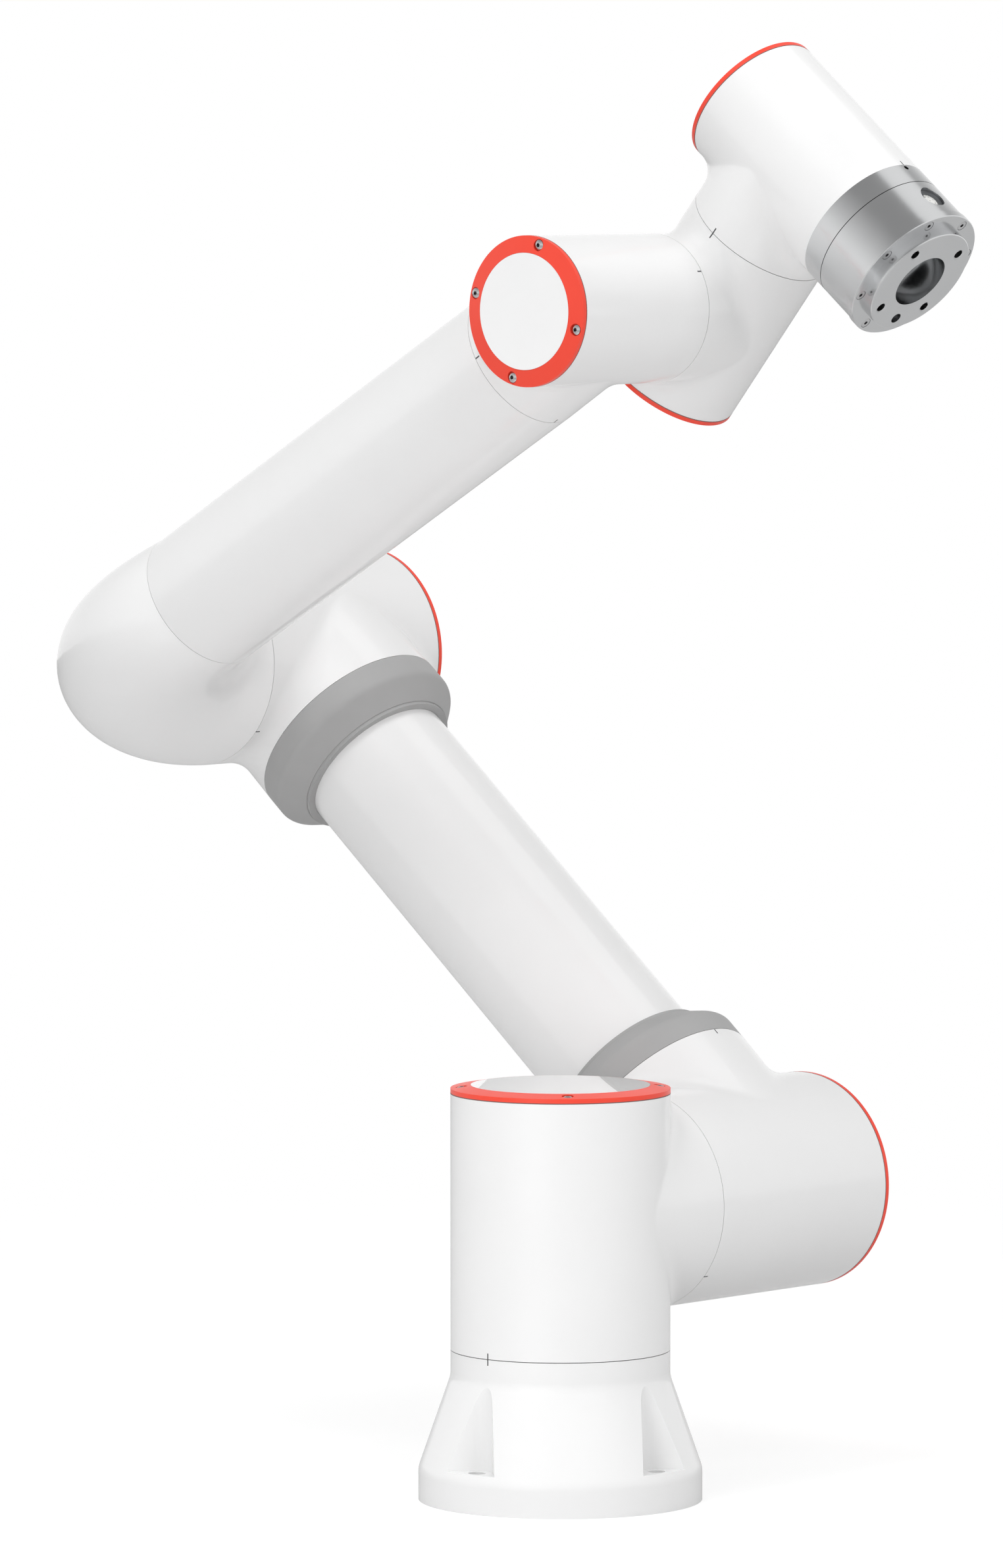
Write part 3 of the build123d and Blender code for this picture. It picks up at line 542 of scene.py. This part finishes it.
def floor():
    """Pale floor, faded into the backdrop. The camera sees it lifted towards white, its shadows faint."""
    deselect()
    bpy.ops.mesh.primitive_circle_add(vertices=FLOOR_SIDES, radius=FLOOR_RADIUS, fill_type="NGON")
    piece = bpy.context.object
    piece.name = "studio_floor"
    material, tree = stage_material("pale_studio_floor")
    ray = add_node(tree, "ShaderNodeLightPath").outputs
    plain = add_node(tree, "ShaderNodeBsdfDiffuse", {"Color": linear(FLOOR_TONE)})
    seen = add_node(tree, "ShaderNodeBsdfDiffuse", {"Color": linear(FLOOR_SEEN)})
    lift = add_node(tree, "ShaderNodeEmission", {"Color": WHITE, "Strength": FLOOR_LIFT})
    lifted = add_node(tree, "ShaderNodeAddShader", None, {0: seen.outputs[0], 1: lift.outputs[0]})
    shown = mix_shaders(tree, ray["Is Camera Ray"], plain.outputs[0], lifted.outputs[0])
    place = add_node(tree, "ShaderNodeTexCoord").outputs["Object"]
    reach = add_node(tree, "ShaderNodeVectorMath", {"operation": "LENGTH"}, {0: place}).outputs["Value"]
    fade = map_range(tree, reach,
                     {"From Min": FADE_START, "From Max": FADE_END, "interpolation_type": "SMOOTHSTEP"})
    gone = add_node(tree, "ShaderNodeMath", {"operation": "MULTIPLY"}, {0: fade, 1: ray["Is Camera Ray"]})
    clear = add_node(tree, "ShaderNodeBsdfTransparent")
    surface = mix_shaders(tree, gone.outputs[0], shown, clear.outputs[0])
    add_node(tree, "ShaderNodeOutputMaterial", None, {"Surface": surface})
    piece.data.materials.append(material)


def studio_world():
    """Pale studio: soft light for the surfaces, white for the camera, and for reflections a white horizon
    under a darker ceiling, which draws the bands on turned metal."""
    world = bpy.data.worlds.new("pale_studio")
    bpy.context.scene.world = world
    world.use_nodes = True
    tree = world.node_tree
    tree.nodes.clear()
    ray = add_node(tree, "ShaderNodeLightPath").outputs
    direction = add_node(tree, "ShaderNodeTexCoord").outputs["Generated"]
    height = add_node(tree, "ShaderNodeSeparateXYZ", None, {"Vector": direction}).outputs["Z"]
    level = map_range(tree, height, {"To Min": SKY_LOW, "To Max": SKY_HIGH})
    light = add_node(tree, "ShaderNodeBackground", {"Color": WHITE}, {"Strength": level})
    ceiling = map_range(tree, height, {"From Min": CEILING_START, "From Max": CEILING_END,
                                       "To Min": HORIZON_LEVEL, "To Max": CEILING_LEVEL})
    mirrored = add_node(tree, "ShaderNodeBackground", {"Color": WHITE}, {"Strength": ceiling})
    white = add_node(tree, "ShaderNodeBackground", {"Color": WHITE, "Strength": 1.0})
    mirror = add_node(tree, "ShaderNodeMath", {"operation": "MAXIMUM"},
                      {0: ray["Is Glossy Ray"], 1: ray["Is Transmission Ray"]})
    unseen = mix_shaders(tree, mirror.outputs[0], light.outputs[0], mirrored.outputs[0])
    shown = mix_shaders(tree, ray["Is Camera Ray"], unseen, white.outputs[0])
    add_node(tree, "ShaderNodeOutputWorld", None, {"Surface": shown})


def area_lamp(name, place, aim, size, watts):
    """Square soft box that faces a point. Neither the camera nor reflections show it."""
    light = bpy.data.lights.new(name, "AREA")
    light.size = size
    light.energy = watts
    lamp = bpy.data.objects.new(name, light)
    bpy.context.scene.collection.objects.link(lamp)
    lamp.location = place
    lamp.rotation_euler = (aim - place).to_track_quat("-Z", "Y").to_euler()
    lamp.visible_camera = False
    lamp.visible_glossy = False


def soft_boxes():
    """Every lamp of the studio, placed from the foot by the camera's view."""
    for name, (near, right, high), aim_height, size, watts in LAMPS:
        place = -FORWARD * near + RIGHT * right + UP * high
        area_lamp(name, place, UP * aim_height, size, watts)


def reflector(name, place, aim, size):
    """White card that only reflections show, for the bright band along the top of the turned metal."""
    deselect()
    bpy.ops.mesh.primitive_plane_add(size=size)
    card = bpy.context.object
    card.name = name
    turn = (aim - place).to_track_quat("Z", "Y").to_matrix().to_4x4()
    card.data.transform(Matrix.Translation(place) @ turn)
    material, tree = stage_material(name)
    glow = add_node(tree, "ShaderNodeEmission", {"Color": WHITE, "Strength": 1.0})
    add_node(tree, "ShaderNodeOutputMaterial", None, {"Surface": glow.outputs[0]})
    card.data.materials.append(material)
    card.visible_camera = False
    card.visible_diffuse = False
    card.visible_shadow = False


def camera():
    """The photograph's camera."""
    lens = bpy.data.cameras.new("photo_camera")
    lens.sensor_fit = "VERTICAL"
    lens.sensor_height = SENSOR
    lens.lens = FOCAL_PIXELS / IMAGE_HEIGHT * SENSOR
    lens.clip_end = VIEW_LIMIT
    seat = bpy.data.objects.new("photo_camera", lens)
    bpy.context.scene.collection.objects.link(seat)
    seat.location = UP * TARGET_HEIGHT + RIGHT * TARGET_ACROSS - FORWARD * VIEW_DISTANCE
    seat.rotation_euler = FORWARD.to_track_quat("-Z", "Y").to_euler()
    bpy.context.scene.camera = seat


camera()
dress_nodes()
tick_marks()
cap_details()
tool_details()
floor()
studio_world()
soft_boxes()
reflector("overhead_card", WRIST_3 + CARD_DIRECTION * CARD_DISTANCE, WRIST_3, CARD_SIZE)
bpy.context.scene.view_settings.view_transform = "Standard"
